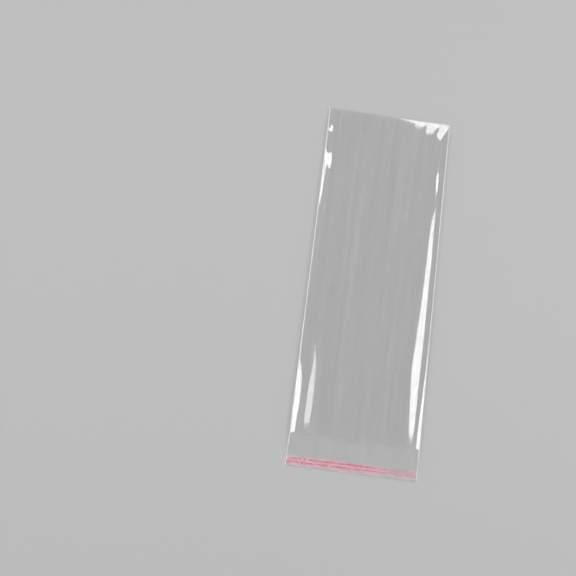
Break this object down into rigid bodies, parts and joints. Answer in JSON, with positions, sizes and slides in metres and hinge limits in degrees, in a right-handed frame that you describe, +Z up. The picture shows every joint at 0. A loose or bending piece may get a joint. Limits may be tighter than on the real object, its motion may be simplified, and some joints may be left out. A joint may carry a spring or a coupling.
{
  "type": "self-seal cellophane bag",
  "caption": "Clear flat film bag with welded sides, a folded closed end and a lip with adhesive under a peel-off liner.",
  "frame": {"origin": "on the surface the bag lies on, under the middle of its length and width", "axes": "+Y along the bag towards its closed end, +X across it, +Z up through the front wall"},
  "size_m": [0.12, 0.3502, 0.0072],
  "materials": {
    "clear_film": "clear gloss polypropylene film",
    "clear_adhesive": "clear tacky adhesive, a little cloudy",
    "printed_liner": "thin clear release film with a pink printed edge"
  },
  "bodies": {
    "root": {"bag_film": "clear_film", "adhesive_band": "clear_adhesive", "release_liner": "printed_liner"}
  },
  "joints": []
}
